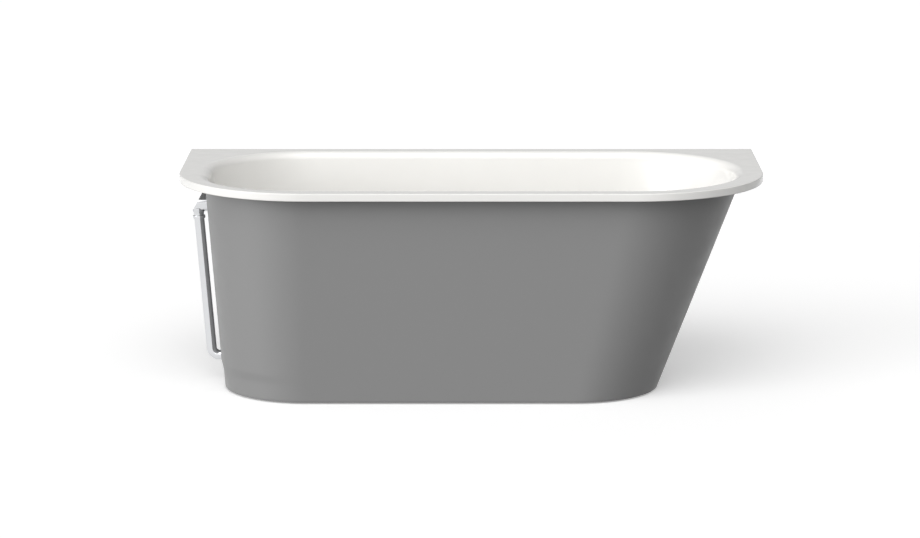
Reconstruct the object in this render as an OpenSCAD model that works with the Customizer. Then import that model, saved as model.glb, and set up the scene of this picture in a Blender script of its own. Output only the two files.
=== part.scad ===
// Back-to-wall bath: a white cast basin with a flat rim, a grey outer skin, and a chrome
// overflow pipe that hangs free at the steeper end. Millimetres, +Z up.
// X runs along the bath and +Y points to the wall. The origin is on the floor, under the
// middle of the rim.

/* [Rim] */
// Length of the rim
rim_l = 1600; // [1500:10:1800]
// Width of the rim, from the wall to its front edge
rim_w = 750; // [700:10:850]
// Height of the rim's top above the floor
bath_h = 590; // [560:5:640]
// Thickness of the rim
rim_t = 21.5; // [16:0.5:28]
// Radius of the rim's two front corners, seen from above
rim_corner_r = 361; // [200:1:370]
// Radius of the rim's two corners at the wall
rim_wall_corner_r = 4; // [3:0.5:20]
// Rounding of the rim's outer edges
rim_edge_r = 2.5; // [1:0.5:5]

/* [Outer skin] */
// How far the rim stands out past the skin at the overflow end
overhang_left = 72; // [50:1:100]
// How far the rim stands out past the skin at the sloping end
overhang_right = 64; // [50:1:100]
// How far the rim stands out past the skin at the front and at the wall
overhang_side = 45; // [40:1:70]
// How far the overflow end draws in from the rim down to the floor
draft_left = 45; // [20:1:80]
// How far the sloping end draws in from the rim down to the floor
draft_right = 224; // [150:1:260]
// How far the front and the back draw in from the rim down to the floor
draft_side = 35; // [10:1:50]
// Corner radius of the skin under the rim, at the overflow end
skin_top_r_left = 276; // [200:1:290]
// Corner radius of the skin under the rim, at the sloping end
skin_top_r_right = 310; // [200:1:320]
// Corner radius of the skin on the floor, at the overflow end
skin_foot_r_left = 234; // [150:1:260]
// Corner radius of the skin on the floor, at the sloping end
skin_foot_r_right = 232; // [150:1:260]
// Thickness of the skin
skin_t = 5; // [3:0.5:6]
// Depth of the step in the overflow end, just above the floor
step_depth = 4; // [1:0.5:6]
// Height where that step starts
step_foot_z = 48; // [30:1:60]
// Height where that step ends
step_top_z = 80; // [70:1:100]
// Open gap between the skin and the floor
floor_gap = 4; // [2:0.5:10]
// Width of the service opening low in the back of the skin
service_w = 150; // [130:5:170]
// Height of the service opening above the floor
service_h = 110; // [100:5:120]

/* [Basin] */
// Thickness of the basin's wall
basin_t = 7.6; // [6:0.2:10]
// Height of the inside floor at the waste
floor_z = 150; // [146:1:165]
// Fall of the inside floor towards the waste, in millimetres per metre
floor_fall = 8; // [4:1:15]
// Thickness of the floor at the waste
floor_t = 10; // [9:0.5:14]
// Height of the rounding between wall and floor
fillet_h = 85; // [60:5:110]
// Reach of that rounding across the floor
fillet_reach = 100; // [80:5:110]
// Depth of the rounded lip between the rim and the wall
lip_h = 22; // [16:1:28]
// Width of the rounded lip at the overflow end
lip_left = 29; // [20:1:35]
// Width of the rounded lip at the sloping end
lip_right = 24; // [18:1:30]
// Width of the rounded lip at the front and the back
lip_side = 18; // [12:1:22]

/* [Overflow] */
// Distance from the rim's top down to the middle of the overflow hole
overflow_drop = 84; // [78:1:95]
// Radius of the overflow hole
overflow_hole_r = 21; // [20:0.5:23]
// Radius of the elbow's mouth on the skin
elbow_mouth_r = 28.5; // [27:0.5:31]
// Distance from the skin to the middle of the pipe
pipe_stand_off = 30.5; // [30:0.5:36]
// Slant of the elbow's outer face, up from level
elbow_slant = 57; // [52:1:60]
// Outside radius of the overflow pipe
pipe_r = 14; // [13.5:0.5:15]
// Wall of the overflow pipe
pipe_t = 1.2; // [1:0.1:1.5]
// Radius of the bend, at the middle of the pipe
bend_r = 22; // [20:1:26]
// Height of the pipe's level run
pipe_run_z = 71.5; // [69:0.5:74]
// Radius of the collar that grips the pipe under the elbow
collar_r = 17.2; // [16.5:0.1:19]
// Height of the collar
collar_h = 8.4; // [7:0.2:12]
// Radius of the cover inside the bath
cover_r = 32; // [30:0.5:36]
// Depth of the cover inside the bath
cover_h = 7; // [6:0.5:10]

/* [Waste and plug] */
// Distance from the skin's overflow end to the waste
waste_from_end = 213; // [205:1:230]
// Radius of the waste's flange
flange_r = 35; // [34:0.5:38]
// Thickness of the waste's flange
flange_t = 3; // [2.5:0.5:4]
// Outside radius of the waste's tail, a 1 1/2 inch pipe thread
tail_r = 23.9; // [23:0.1:24.2]
// Wall of the waste's tail
tail_t = 2.9; // [2:0.1:3.5]
// Radius of the plug
plug_r = 31.5; // [29:0.5:33]
// Thickness of the plug at its rim
plug_t = 3; // [2:0.5:5]
// Height of the plug's crown
plug_crown = 1.8; // [1:0.1:3]
// How far the plug lifts
plug_travel = 10; // [6:1:12]
// Radius of the plug's stem
stem_r = 5; // [4:0.5:6]
// Length of the stem that stays in its sleeve when the plug is lifted
stem_hold = 16; // [12:1:18]

/* [Trap and outlet] */
// Outside radius of the trap's body
trap_r = 50; // [48:1:54]
// Wall of the trap
trap_t = 3; // [2.5:0.5:4]
// Height of the trap's lowest face above the floor
trap_z = 7; // [5:1:9]
// Middle of the outlet above the floor
outlet_z = 66; // [64:1:68]
// Outside radius of the outlet pipe
outlet_r = 20; // [19:0.5:21]
// Wall of the outlet pipe
outlet_t = 1.9; // [1.5:0.1:2.5]
// How far short of the wall the outlet pipe ends
outlet_wall_gap = 15; // [5:1:40]

/* [Support] */
// Size of the square cross rails
rail_w = 30; // [28:1:35]
// Wall of the cross rails
rail_t = 2.5; // [2:0.5:3]
// Length of the cross rails
rail_l = 460; // [440:5:480]
// Distance from the skin's overflow end to the first rail, at floor level
rail_left_inset = 123; // [115:1:126]
// Distance from the skin's sloping end to the second rail, at floor level
rail_right_inset = 112; // [100:1:150]
// Thickness of the board under the basin
board_t = 10; // [8:0.5:10]
// Distance of each foot from the middle of the bath
foot_y = 195; // [185:1:200]
// Radius of the feet
pad_r = 25; // [20:1:30]
// Height of the foot's disc
pad_h = 6; // [5:0.5:8]
// Radius of the feet's studs, an M12 thread
foot_stud_r = 6; // [5:0.5:6.5]
// How far a foot can be screwed down
foot_travel = 25; // [10:1:25]
// Length of the wall brackets
wall_bracket_l = 120; // [100:5:160]
// Distance between a wall bracket's two screw holes
wall_hole_pitch = 80; // [60:5:90]
// Radius of the wall bracket's screw holes
wall_hole_r = 3.25; // [2.5:0.25:4]
// Distance of each wall bracket from the middle of the bath
wall_bracket_x = 400; // [300:10:500]
// Distance from the waste to the first pair of skin angles
angle_left_in = 220; // [180:10:260]
// Distance from the skin's sloping end, at floor level, to the second pair
angle_right_in = 360; // [300:10:420]

/* [Fits] */
// Bond gap between the basin and the skin
bond_gap = 0.4; // [0.3:0.1:1]
// Gap between pieces that are fastened together
seat_gap = 0.3; // [0.2:0.05:0.5]
// Radial clearance of what slides or turns in a hole
running_fit = 0.05; // [0.03:0.01:0.08]
// Radial clearance of a pipe in its socket
pipe_fit = 0.3; // [0.2:0.05:0.4]

/* [Hidden] */
$fn = 96;
corner_steps = 16;
fillet_steps = 6;
lip_steps = 6;
eps = 0.01;

// Longer than any cut needs
far = bath_h;

under_rim = bath_h - rim_t;
overflow_z = bath_h - overflow_drop;
rim = [-rim_l/2, rim_l/2, -rim_w/2, rim_w/2,
       rim_corner_r, rim_corner_r, rim_wall_corner_r, rim_wall_corner_r];
wall_y = rim_w/2;

top_left = rim[0] + overhang_left;
top_right = rim[1] - overhang_right;
top_front = rim[2] + overhang_side;
top_back = rim[3] - overhang_side;
foot_left = top_left + draft_left;
foot_right = top_right - draft_right;
foot_front = top_front + draft_side;
foot_back = top_back - draft_side;
left_lean = atan(draft_left/under_rim);

basin_outer = skin_t + bond_gap;
basin_inner = basin_outer + basin_t;
basin_under = floor_z - floor_t;
skin_top = under_rim - seat_gap;
waste_x = foot_left + waste_from_end;

board_top = basin_under - seat_gap;
board_under = board_top - board_t;
rail_top = board_under - seat_gap;
rail_under = rail_top - rail_w;
rail_x = [foot_left + rail_left_inset, foot_right - rail_right_inset];

function mix(a, b, t) = a + (b - a)*t;
function clamp01(t) = max(0, min(1, t));
function step_at(z) = step_depth*clamp01((step_top_z - z)/(step_top_z - step_foot_z));

// The skin's outer face at height z: left, right, front, back and the four corner radii,
// in the order front left, front right, back right, back left
function skin_outline(z) = let(t = z/under_rim,
    rl = mix(skin_foot_r_left, skin_top_r_left, t),
    rr = mix(skin_foot_r_right, skin_top_r_right, t))
    [mix(foot_left, top_left, t) + step_at(z), mix(foot_right, top_right, t),
     mix(foot_front, top_front, t), mix(foot_back, top_back, t), rl, rr, rr, rl];

function inset(o, d) = [o[0] + d, o[1] - d, o[2] + d, o[3] - d,
    o[4] - d, o[5] - d, o[6] - d, o[7] - d];
function corner(x, y, r, a0) = [for (k = [0:corner_steps])
    let(a = a0 + 90*k/corner_steps) [x + r*cos(a), y + r*sin(a)]];
// Points of an outline, anticlockwise from the front right corner
function path(o) = concat(
    corner(o[1] - o[5], o[2] + o[5], o[5], -90),
    corner(o[1] - o[6], o[3] - o[6], o[6], 0),
    corner(o[0] + o[7], o[3] - o[7], o[7], 90),
    corner(o[0] + o[4], o[2] + o[4], o[4], 180));
function ring(o, z, fall = 0) = [for (p = path(o)) [p[0], p[1], z + fall*(p[0] - waste_x)/1000]];
// A curve from ring a to ring c that aims at ring b
function bend_to(a, b, c, t) = [for (i = [0:len(a) - 1])
    a[i]*(1 - t)*(1 - t) + b[i]*2*t*(1 - t) + c[i]*t*t];

// A solid through matched rings. An open stack of rings is capped at both ends, and a
// closed one goes round to its first ring.
module loft(rings, closed = false) {
    n = len(rings[0]);
    m = len(rings);
    points = [for (r = rings) for (p = r) p];
    sides = [for (i = [0:m - (closed ? 1 : 2)]) for (j = [0:n - 1])
        let(a = i*n + j, b = ((i + 1)%m)*n + j, c = ((i + 1)%m)*n + (j + 1)%n, d = i*n + (j + 1)%n)
        each [[a, b, c], [a, c, d]]];
    caps = closed ? [] : [[for (j = [0:n - 1]) j], [for (j = [n - 1:-1:0]) (m - 1)*n + j]];
    polyhedron(points = points, faces = concat(sides, caps));
}

module tube(r_out, r_in, h) {
    difference() {
        cylinder(r = r_out, h = h);
        translate([0, 0, -1]) cylinder(r = r_in, h = h + 2);
    }
}
module tube_z(r_out, r_in, z0, z1) { translate([0, 0, z0]) tube(r_out, r_in, z1 - z0); }
module rod_x(r, x0, x1) { translate([x0, 0, 0]) rotate([0, 90, 0]) cylinder(r = r, h = x1 - x0); }
module rod_y(r, y0, y1) { translate([0, y0, 0]) rotate([-90, 0, 0]) cylinder(r = r, h = y1 - y0); }
module tube_x(r_out, r_in, x0, x1) {
    translate([x0, 0, 0]) rotate([0, 90, 0]) tube(r_out, r_in, x1 - x0);
}
module tube_y(r_out, r_in, y0, y1) {
    translate([0, y0, 0]) rotate([-90, 0, 0]) tube(r_out, r_in, y1 - y0);
}

// Places things on the overflow end: x = 0 is the skin's face, +X goes into the bath and
// +Z runs up along the leaning wall
module on_wall() {
    translate([skin_outline(overflow_z)[0], 0, overflow_z]) rotate([0, -left_lean, 0]) children();
}
module at_waste() { translate([waste_x, 0, 0]) children(); }
inner_face = basin_inner*cos(left_lean);

// The basin with its rim

opening = let(w = inset(skin_outline(bath_h - lip_h), basin_inner))
    [w[0] - lip_left, w[1] + lip_right, w[2] - lip_side, w[3] + lip_side,
     w[4] + lip_side, w[5] + lip_side, w[6] + lip_side, w[7] + lip_side];

function basin_rings() = let(
    under = basin_under,
    under_bend = basin_under + fillet_h,
    soft = rim_edge_r*(1 - cos(45)),
    u_floor = ring(inset(skin_outline(under), basin_outer + fillet_reach), under),
    u_corner = ring(inset(skin_outline(under), basin_outer), under),
    u_wall = ring(inset(skin_outline(under_bend), basin_outer), under_bend),
    edge = ring(opening, bath_h),
    wall = ring(inset(skin_outline(bath_h - lip_h), basin_inner), bath_h - lip_h),
    low = floor_z + fillet_h,
    i_wall = ring(inset(skin_outline(low), basin_inner), low, floor_fall),
    i_corner = ring(inset(skin_outline(floor_z), basin_inner), floor_z, floor_fall),
    i_floor = ring(inset(skin_outline(floor_z), basin_inner + fillet_reach), floor_z, floor_fall))
    concat(
        [for (k = [0:fillet_steps]) bend_to(u_floor, u_corner, u_wall, k/fillet_steps)],
        [ring(inset(skin_outline(under_rim), basin_outer), under_rim),
         ring(inset(rim, rim_edge_r), under_rim),
         ring(inset(rim, soft), under_rim + soft),
         ring(rim, under_rim + rim_edge_r),
         ring(rim, bath_h - rim_edge_r),
         ring(inset(rim, soft), bath_h - soft),
         ring(inset(rim, rim_edge_r), bath_h)],
        [for (k = [0:lip_steps]) let(a = 90*k/lip_steps)
            [for (i = [0:len(edge) - 1])
                [mix(edge[i][0], wall[i][0], sin(a)), mix(edge[i][1], wall[i][1], sin(a)),
                 bath_h - lip_h*(1 - cos(a))]]],
        [for (k = [0:fillet_steps]) bend_to(i_wall, i_corner, i_floor, k/fillet_steps)]);

recess_depth = 5;
recess_gap = 1;
waste_hole_r = tail_r + 2.1;
insert_r = 2.6;
insert_depth = 14;
module basin() {
    color("white") difference() {
        loft(basin_rings());
        at_waste() {
            translate([0, 0, basin_under - 1]) cylinder(r = waste_hole_r, h = floor_t + 2);
            translate([0, 0, floor_z - recess_depth]) cylinder(r = flange_r + recess_gap, h = far);
        }
        on_wall() rod_x(overflow_hole_r, -5, 40);
        at_wall_bracket_screws() translate([0, 0, -1]) cylinder(r = insert_r, h = insert_depth + 1);
    }
}

function skin_levels() = [floor_gap, step_foot_z, step_top_z, skin_top];
function skin_rings() = concat(
    [for (z = skin_levels()) ring(skin_outline(z), z)],
    [for (i = [3:-1:0]) let(z = skin_levels()[i]) ring(inset(skin_outline(z), skin_t), z)]);

grommet_r = pipe_r + 3;
module outer_skin() {
    color("gray") difference() {
        loft(skin_rings(), closed = true);
        on_wall() rod_x(overflow_hole_r, -5, 20);
        translate([0, 0, pipe_run_z]) rod_x(grommet_r, foot_left - 30, foot_left + 30);
        translate([waste_x - service_w/2, foot_back - 20, -1]) cube([service_w, 60, service_h + 1]);
    }
}

// Overflow

wall_seal_t = 1.8;
spigot_r = overflow_hole_r - pipe_fit;
stub_r = pipe_r - pipe_t - pipe_fit;
elbow_neck_r = pipe_r - 0.4;
elbow_out = pipe_stand_off + pipe_r;
stub_foot = -60;
collar_top = -37.8;
pipe_top = collar_top - collar_h/2 + 1;
bridge_x = 6.5;
bridge_t = 4.5;
cover_screw_r = 2.5;

// The elbow's outer face slants from this point up to the wall
slant_x = -elbow_out + 0.5;
slant_z = -19.1;
module overflow_elbow() {
    mouth_bore_r = 17.5;
    color("silver") on_wall() difference() {
        union() {
            difference() {
                union() {
                    rod_x(elbow_mouth_r, -elbow_out, -wall_seal_t);
                    translate([-pipe_stand_off, 0, collar_top + seat_gap]) cylinder(r = elbow_neck_r, h = slant_z - 1 - collar_top);
                }
                translate([slant_x, 0, slant_z]) rotate([0, 90 - elbow_slant, 0])
                    translate([-far, -far/2, -far/2]) cube(far);
            }
            translate([-pipe_stand_off, 0, stub_foot]) cylinder(r = stub_r, h = slant_z - stub_foot - 2);
            rod_x(spigot_r, -wall_seal_t - 1, inner_face - 1.5);
        }
        difference() {
            rod_x(mouth_bore_r, -16, inner_face + 1);
            translate([bridge_x, -25, -4]) cube([bridge_t, 50, 8]);
        }
        translate([-pipe_stand_off, 0, -24]) rotate([0, 45, 0]) cylinder(r = 9, h = 28);
        translate([-pipe_stand_off, 0, stub_foot - 1]) cylinder(r = stub_r - 2, h = 38);
        rod_x(cover_screw_r + running_fit, bridge_x - 5, bridge_x + bridge_t + 1);
    }
}

module overflow_wall_seal() {
    color("black") on_wall() tube_x(elbow_mouth_r - 1, overflow_hole_r + 0.5,
                                    seat_gap/2 - wall_seal_t, -seat_gap/2);
}

module overflow_collar() {
    color("silver") on_wall() translate([-pipe_stand_off, 0, 0]) difference() {
        translate([0, 0, collar_top - collar_h]) cylinder(r = collar_r, h = collar_h);
        translate([0, 0, collar_top - 20]) cylinder(r = stub_r + pipe_fit, h = 30);
        translate([0, 0, pipe_top - 20]) cylinder(r = pipe_r + pipe_fit, h = 20 + seat_gap);
    }
}

// The pipe hangs parallel to the wall, bends under and runs level to the trap
pipe_axis_x = skin_outline(overflow_z)[0] - pipe_stand_off*cos(left_lean);
pipe_axis_z = overflow_z - pipe_stand_off*sin(left_lean);
pipe_drop = (pipe_axis_z - pipe_run_z)/cos(left_lean);
bend_angle = 90 - left_lean;
bend_tangent = bend_r*tan(bend_angle/2);
bend_end_x = pipe_axis_x + pipe_drop*sin(left_lean) + bend_tangent;
side_inlet_l = 30;
side_inlet_x = waste_x - trap_r - side_inlet_l;
pipe_end_x = side_inlet_x + 18;
bore_r = pipe_r - pipe_t;
module overflow_pipe() {
    color("silver") on_wall() translate([-pipe_stand_off, 0, bend_tangent - pipe_drop])
        tube(pipe_r, bore_r, pipe_drop - bend_tangent + pipe_top);
}
module overflow_bend() {
    color("silver") translate([bend_end_x, 0, pipe_run_z + bend_r]) rotate([90, 0, 0])
        rotate([0, 0, -90 - bend_angle]) rotate_extrude(angle = bend_angle)
            translate([bend_r, 0]) difference() {
                circle(r = pipe_r);
                circle(r = bore_r);
            }
}
module overflow_run() {
    color("silver") translate([0, 0, pipe_run_z]) tube_x(pipe_r, bore_r, bend_end_x, pipe_end_x);
}
// Sleeves inside the pipe that hold the bend's two soldered ends
ferrule_l = 12;
module bend_ferrules() {
    color("goldenrod") {
        on_wall() translate([-pipe_stand_off, 0, bend_tangent - pipe_drop + seat_gap])
            tube(bore_r - running_fit, bore_r - 1, ferrule_l);
        translate([0, 0, pipe_run_z]) tube_x(bore_r - running_fit, bore_r - 1,
            bend_end_x + seat_gap, bend_end_x + ferrule_l);
    }
}

module overflow_inner_seal() {
    color("black") on_wall() tube_x(cover_r - 2, overflow_hole_r + 1,
                                    inner_face + seat_gap/2, inner_face + 1.5);
}

cover_x = inner_face + 1.5 + seat_gap;
cover_wall = 2;
cover_holes = 12;
cover_hole_ring = 20;
module overflow_cover() {
    color("silver") on_wall() difference() {
        translate([cover_x, 0, 0]) rotate([0, 90, 0]) rotate_extrude() polygon([
            [cover_screw_r + running_fit, cover_h - cover_wall],
            [cover_r - cover_wall - 1, cover_h - cover_wall],
            [cover_r - cover_wall, cover_h - cover_wall - 1], [cover_r - cover_wall, 0], [cover_r, 0],
            [cover_r, cover_h - 2], [cover_r - 2, cover_h], [cover_screw_r + running_fit, cover_h]]);
        for (k = [0:cover_holes - 1]) rotate([360*k/cover_holes, 0, 0])
            translate([0, 0, cover_hole_ring]) rod_x(3, cover_x, cover_x + cover_h + 1);
    }
}
module overflow_screw() {
    head_x = cover_x + cover_h + seat_gap;
    color("silver") on_wall() difference() {
        union() {
            rod_x(cover_screw_r, bridge_x, head_x);
            rod_x(5, head_x, head_x + 2.4);
        }
        rod_hex(1.6, head_x + 1, head_x + 4);
    }
}
module rod_hex(r, x0, x1) {
    translate([x0, 0, 0]) rotate([0, 90, 0]) cylinder(r = r, h = x1 - x0, $fn = 6);
}

module skin_grommet() {
    x = skin_outline(pipe_run_z)[0];
    color("black") translate([0, 0, pipe_run_z])
        tube_x(grommet_r - seat_gap/2, pipe_r + seat_gap/2, x - 2, x + skin_t + 3);
}

// Waste and plug

flange_z = floor_z - flange_t;
seal_z = floor_z - recess_depth;
trap_top = outlet_z + outlet_r + 6;
neck_top = trap_top + 16;
neck_r = tail_r + 6.1;
tail_foot = trap_top + 4;
hub_r = stem_r + 4;
hub_z = [floor_z - 32, floor_z - 10];
hub_h = 12;
arm_t = 3;
arm_h = 8;
seat_r = tail_r - tail_t;
module waste_flange() {
    color("silver") at_waste() union() {
        difference() {
            union() {
                translate([0, 0, flange_z]) cylinder(r = flange_r, h = flange_t);
                translate([0, 0, tail_foot]) cylinder(r = tail_r, h = flange_z - tail_foot + eps);
            }
            translate([0, 0, tail_foot - 1]) cylinder(r = seat_r, h = far);
            translate([0, 0, flange_z]) cylinder(r1 = seat_r, r2 = seat_r + flange_t, h = flange_t + eps);
        }
        difference() {
            union() {
                translate([0, 0, hub_z[0]]) cylinder(r = hub_r, h = hub_h);
                for (k = [0:2]) rotate(120*k + 30)
                    translate([0, -arm_t/2, hub_z[0]]) cube([seat_r + 1, arm_t, arm_h]);
            }
            translate([0, 0, hub_z[0] - 1]) cylinder(r = sleeve_r + seat_gap, h = hub_h + 2);
        }
    }
}
sleeve_r = stem_r + 2;
module plug_sleeve() {
    color("goldenrod") at_waste() difference() {
        union() {
            translate([0, 0, hub_z[0]]) cylinder(r = sleeve_r, h = hub_z[1] - hub_z[0]);
            translate([0, 0, hub_z[0] + hub_h + seat_gap]) cylinder(r = sleeve_r + 3, h = 4, $fn = 6);
        }
        translate([0, 0, hub_z[0] - 1]) cylinder(r = stem_r + running_fit, h = far);
    }
}
module waste_seal_top() {
    color("black") at_waste()
        tube_z(flange_r - 1, waste_hole_r + 1, seal_z + seat_gap/2, flange_z - seat_gap/2);
}
under_seal_t = 2.5;
module waste_seal_under() {
    color("black") at_waste() tube_z(flange_r - 1, tail_r + seat_gap,
        basin_under - under_seal_t, basin_under - seat_gap/2);
}
nut_h = 10;
module waste_back_nut() {
    top = basin_under - under_seal_t - seat_gap/2;
    color("dimgray") at_waste() difference() {
        translate([0, 0, top - nut_h]) cylinder(r = flange_r + 1, h = nut_h, $fn = 8);
        translate([0, 0, top - nut_h - 1]) cylinder(r = tail_r + 0.1, h = nut_h + 2);
    }
}
plug_z = floor_z + 2;
stem_l = plug_z - hub_z[1] + plug_travel + stem_hold;
module plug_cap() {
    color("silver") at_waste() translate([0, 0, plug_z]) union() {
        rotate_extrude() polygon(concat([[0, 0], [plug_r - 0.6, 0], [plug_r, 0.6], [plug_r, plug_t - 0.8]],
            [for (k = [1:8]) let(t = k/8) [plug_r*(1 - t), plug_t - 0.8 + (plug_crown + 0.8)*sin(90*t)]]));
        translate([0, 0, -stem_l]) cylinder(r = stem_r, h = stem_l + 1);
    }
}
module plug_seal() {
    color("black") at_waste()
        tube_z(plug_r - 2.5, seat_r + flange_t + 0.5, floor_z + seat_gap, plug_z - seat_gap/2);
}

// Trap and outlet

dip_r = tail_r + 1.6;
dip_wall = 3;
dip_foot = trap_z + trap_t + 8;
side_inlet_r = pipe_r + 4;
inlet_mouth = -trap_r - side_inlet_l;
inlet_depth = 22;
outlet_socket_r = outlet_r + 3.5;
outlet_end = trap_r + 50;
bowl_r = trap_r + 4;
bowl_top = outlet_z - outlet_socket_r - 0.5;
thread_l = 12;
body_foot = bowl_top - thread_l;
module trap_body() {
    color("whitesmoke") at_waste() difference() {
        union() {
            difference() {
                translate([0, 0, body_foot]) cylinder(r = trap_r, h = trap_top - body_foot);
                translate([0, 0, body_foot - 1])
                    cylinder(r = trap_r - trap_t, h = trap_top - body_foot - trap_t + 1);
            }
            translate([0, 0, dip_foot]) cylinder(r = dip_r, h = trap_top - dip_foot);
            translate([0, 0, trap_top - 1]) cylinder(r = neck_r, h = neck_top - trap_top + 1);
            translate([0, 0, pipe_run_z]) rod_x(side_inlet_r, inlet_mouth, -dip_r + 2);
            translate([0, 0, outlet_z]) rod_y(outlet_socket_r, trap_r - 6, outlet_end);
        }
        translate([0, 0, dip_foot - 1]) cylinder(r = dip_r - dip_wall, h = far);
        translate([0, 0, tail_foot - 2]) cylinder(r = tail_r + pipe_fit, h = far);
        translate([0, 0, pipe_run_z]) rod_x(pipe_r + pipe_fit, inlet_mouth - 1, inlet_mouth + inlet_depth);
        translate([0, 0, pipe_run_z]) rod_x(bore_r, inlet_mouth, 0);
        translate([0, 0, outlet_z]) rod_y(outlet_r + pipe_fit, trap_r + 10, outlet_end + 1);
        translate([0, 0, outlet_z]) rod_y(outlet_r - outlet_t, trap_r - 8, outlet_end);
    }
}
bowl_ring_t = 2;
module trap_bowl() {
    color("whitesmoke") at_waste() difference() {
        translate([0, 0, trap_z]) cylinder(r = bowl_r, h = bowl_top - trap_z);
        translate([0, 0, trap_z + trap_t]) cylinder(r = trap_r - trap_t, h = far);
        translate([0, 0, body_foot - bowl_ring_t]) cylinder(r = trap_r + pipe_fit, h = far);
    }
}
module trap_bowl_ring() {
    color("black") at_waste() tube_z(trap_r, trap_r - trap_t + 0.5,
        body_foot - bowl_ring_t + seat_gap/2, body_foot - seat_gap/2);
}

// Union nuts. Along its pipe, each grips the socket from grip_l behind the socket's mouth and
// reaches nut_reach past it, with a lip that presses a ring against the mouth
union_lip = 4;
nut_wall = 5;
inlet_nut_reach = 14;
nut_reach = 12;
grip_l = 8;
thread_gap = 0.2;
module trap_inlet_nut() {
    low = neck_top - grip_l;
    top = neck_top + inlet_nut_reach;
    color("dimgray") at_waste() difference() {
        translate([0, 0, low]) cylinder(r = neck_r + nut_wall, h = top - low, $fn = 12);
        translate([0, 0, low - 1]) cylinder(r = neck_r + thread_gap, h = top - low + 1 - union_lip);
        translate([0, 0, low]) cylinder(r = tail_r + pipe_fit, h = far);
    }
}
module trap_inlet_seal() {
    color("black") at_waste() tube_z(neck_r - 0.5, tail_r + seat_gap,
        neck_top + seat_gap/2, neck_top + inlet_nut_reach - union_lip - seat_gap/2);
}
module overflow_union_nut() {
    low = inlet_mouth - nut_reach;
    top = inlet_mouth + grip_l;
    color("dimgray") translate([waste_x, 0, pipe_run_z]) difference() {
        rod_x(side_inlet_r + nut_wall - 1, low, top);
        rod_x(side_inlet_r + thread_gap, low + union_lip, top + 1);
        rod_x(pipe_r + pipe_fit, low - 1, top + 1);
    }
}
module overflow_union_ring() {
    color("black") translate([waste_x, 0, pipe_run_z]) tube_x(side_inlet_r - 0.5, pipe_r + seat_gap/2,
        inlet_mouth - nut_reach + union_lip + seat_gap/2, inlet_mouth - seat_gap/2);
}
module outlet_nut() {
    low = outlet_end - grip_l - 2;
    top = outlet_end + nut_reach;
    color("dimgray") translate([waste_x, 0, outlet_z]) difference() {
        rod_y(outlet_socket_r + nut_wall, low, top);
        rod_y(outlet_socket_r + thread_gap, low - 1, top - union_lip);
        rod_y(outlet_r + pipe_fit, low - 1, top + 1);
    }
}
module outlet_ring() {
    color("black") translate([waste_x, 0, outlet_z]) tube_y(outlet_socket_r - 0.5, outlet_r + seat_gap/2,
        outlet_end + seat_gap/2, outlet_end + nut_reach - union_lip - seat_gap/2);
}
// A shallow ring round the pipe marks how deep its free end goes into the wall's socket
outlet_free_l = 45;
outlet_mark_w = 1.5;
outlet_mark_d = 0.4;
module outlet_pipe() {
    free_end = wall_y - outlet_wall_gap;
    mark = free_end - outlet_free_l;
    color("whitesmoke") translate([waste_x, 0, outlet_z]) difference() {
        tube_y(outlet_r, outlet_r - outlet_t, outlet_end - 22, free_end);
        tube_y(outlet_r + 1, outlet_r - outlet_mark_d, mark - outlet_mark_w, mark);
    }
}

// Support under the basin

board_hole_r = 60;
screw_gap = 0.1;
// A screw with a hex socket. Its head ends at z = 0 and its shank goes up from there
module socket_screw(shank_r, shank_l, head_r, head_h, key_r) {
    difference() {
        union() {
            translate([0, 0, -head_h]) cylinder(r = head_r, h = head_h);
            translate([0, 0, -1]) cylinder(r = shank_r, h = shank_l + 1);
        }
        translate([0, 0, -head_h - 1]) cylinder(r = key_r, h = 1 + 0.6*head_h, $fn = 6);
    }
}
module base_board() {
    color("burlywood") difference() {
        translate([0, 0, board_under]) linear_extrude(board_t)
            polygon(path(inset(skin_outline(basin_under), basin_outer + fillet_reach)));
        at_waste() translate([0, 0, board_under - 1]) cylinder(r = board_hole_r, h = board_t + 2);
        at_board_screws() cylinder(r = board_screw_r + screw_gap, h = far);
        at_skin_screws() translate([0, 0, -1]) cylinder(r = skin_screw_r + screw_gap, h = board_t);
    }
}

board_screw_r = 3;
board_head_r = 5.5;
board_head_h = 4;
driver_hole_r = 7;
stud_hole_gap = 0.5;
board_screw_y = [-140, -60, 60, 140];
module at_board_screws() {
    for (x = rail_x, y = board_screw_y) translate([x, y, rail_top - 3]) children();
}
module cross_rail(x) {
    color("silver") difference() {
        translate([x - rail_w/2, -rail_l/2, rail_under]) cube([rail_w, rail_l, rail_w]);
        translate([x - rail_w/2 + rail_t, -rail_l/2 - 1, rail_under + rail_t])
            cube([rail_w - 2*rail_t, rail_l + 2, rail_w - 2*rail_t]);
        for (y = board_screw_y) translate([x, y, rail_under - 1]) {
            cylinder(r = driver_hole_r, h = rail_t + 2);
            cylinder(r = board_screw_r + screw_gap, h = rail_w + 2);
        }
        for (side = [-1, 1]) translate([x, side*foot_y, rail_under - 1])
            cylinder(r = foot_stud_r + stud_hole_gap, h = rail_t + 2);
    }
}
module cross_rail_left() { cross_rail(rail_x[0]); }
module cross_rail_right() { cross_rail(rail_x[1]); }

module board_screws() {
    color("silver") for (x = rail_x, y = board_screw_y)
        translate([x, y, rail_top - rail_t - seat_gap/2])
            socket_screw(board_screw_r, rail_t + board_t - 2, board_head_r, board_head_h, 2.5);
}

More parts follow.
